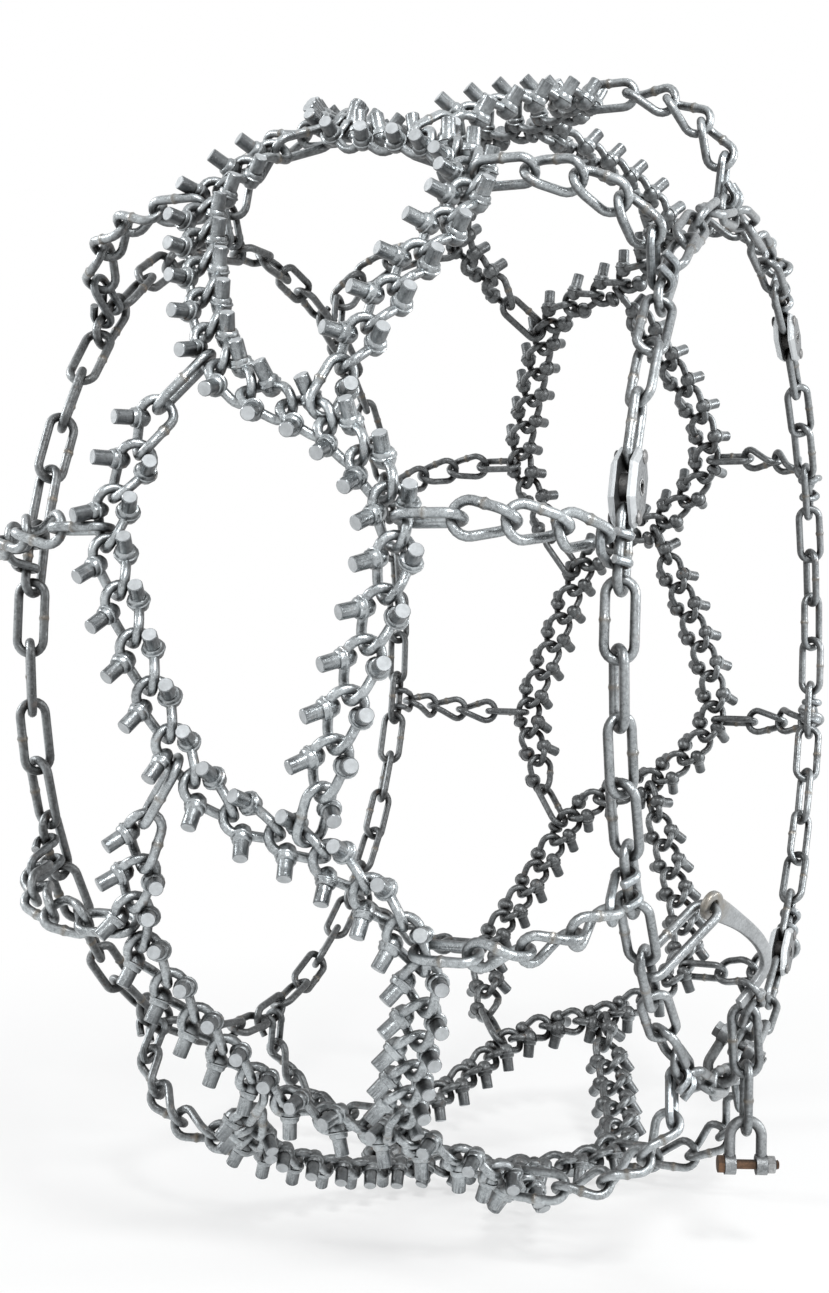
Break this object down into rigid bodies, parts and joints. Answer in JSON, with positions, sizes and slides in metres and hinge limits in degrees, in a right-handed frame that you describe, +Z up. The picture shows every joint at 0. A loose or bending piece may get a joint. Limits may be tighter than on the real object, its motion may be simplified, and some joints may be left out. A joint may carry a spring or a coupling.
{
  "type": "tire snow chain",
  "caption": "Studded ladder-and-diamond net of welded chain links for a skid-steer tyre, with side chains, tightening cams and a lever fastener.",
  "frame": {"origin": "centre of the wheel that the chain fits", "axes": "+Y along the wheel's axis towards the vehicle, -Y outwards to the fastener, +Z up, -X to the front of the tread"},
  "size_m": [0.8978, 0.5004, 0.8986],
  "materials": {
    "net_link_steel": "bright zinc on welded links, lightly grained",
    "stud_steel": "zinc-plated collars with pale sawn stud faces",
    "side_chain_steel": "zinc-plated bent wire, slightly dull",
    "hook_wire": "zinc-plated wire with sheared ends",
    "forged_steel": "grey forged and plated, bevel edges worn bright",
    "lever_steel": "forged flat, dull grey with rubbed edges",
    "rusty_steel": "zinc gone, rust-brown shank and dark nut"
  },
  "bodies": {
    "net": {"cam_pins": "forged_steel", "cam_plates": "forged_steel", "fastener_links": "side_chain_steel", "fastener_long_link": "side_chain_steel", "inner_arm_end_links": "net_link_steel", "inner_arm_links": "net_link_steel", "inner_hooks": "hook_wire", "inner_side_chain": "side_chain_steel", "keeper_ring": "side_chain_steel", "net_connectors": "net_link_steel", "outer_arm_end_links": "net_link_steel", "outer_arm_links": "net_link_steel", "outer_hooks": "hook_wire", "outer_side_chain": "side_chain_steel", "shackle_bolt": "forged_steel", "shackle_bow": "side_chain_steel", "shackle_nut": "forged_steel", "strand_01_links": "net_link_steel", "strand_01_studs": "stud_steel", "strand_02_links": "net_link_steel", "strand_02_studs": "stud_steel", "strand_03_links": "net_link_steel", "strand_03_studs": "stud_steel", "strand_04_links": "net_link_steel", "strand_04_studs": "stud_steel", "strand_05_links": "net_link_steel", "strand_05_studs": "stud_steel", "strand_06_links": "net_link_steel", "strand_06_studs": "stud_steel", "strand_07_links": "net_link_steel", "strand_07_studs": "stud_steel", "strand_08_links": "net_link_steel", "strand_08_studs": "stud_steel", "strand_09_links": "net_link_steel", "strand_09_studs": "stud_steel", "strand_10_links": "net_link_steel", "strand_10_studs": "stud_steel"},
    "cam_1_rotor": {"cam_1_drum": "forged_steel"},
    "cam_2_rotor": {"cam_2_drum": "forged_steel"},
    "cam_3_rotor": {"cam_3_drum": "forged_steel"},
    "lever": {"fastener_lever": "lever_steel"},
    "tail_1": {"tail_link_1": "side_chain_steel"},
    "tail_2": {"tail_link_2": "side_chain_steel"},
    "tail_end": {"tail_shackle_bow": "side_chain_steel", "tail_shackle_bolt": "rusty_steel", "tail_shackle_nut": "rusty_steel"}
  },
  "joints": [
    {"name": "cam_1_turn", "type": "hinge", "parent": "net", "child": "cam_1_rotor", "pos_m": [-0.32328, -0.215, 0.09635], "axis": [0, -1, 0], "range_deg": [0, 180]},
    {"name": "cam_2_turn", "type": "hinge", "parent": "net", "child": "cam_2_rotor", "pos_m": [0.19153, -0.215, 0.27769], "axis": [0, -1, 0], "range_deg": [0, 180]},
    {"name": "cam_3_turn", "type": "hinge", "parent": "net", "child": "cam_3_rotor", "pos_m": [0.20491, -0.215, -0.26797], "axis": [0, -1, 0], "range_deg": [0, 180]},
    {"name": "lever_swing", "type": "hinge", "parent": "net", "child": "lever", "pos_m": [-0.20376, -0.245, -0.17715], "axis": [-0.3439, -0.8901, -0.299], "range_deg": [0, 100]},
    {"name": "tail_1_swing", "type": "hinge", "parent": "net", "child": "tail_1", "pos_m": [-0.09936, -0.24659, -0.27137], "axis": [0.8088, 0.2952, -0.5087], "range_deg": [-30, 3]},
    {"name": "tail_2_swing", "type": "hinge", "parent": "tail_1", "child": "tail_2", "pos_m": [-0.09936, -0.24945, -0.3122], "axis": [-0.3778, 0.9236, -0.0646], "range_deg": [-15, 15]},
    {"name": "tail_end_swing", "type": "hinge", "parent": "tail_2", "child": "tail_end", "pos_m": [-0.09936, -0.24919, -0.3542], "axis": [-0.9256, -0.3786, 0], "range_deg": [-15, 15]}
  ]
}
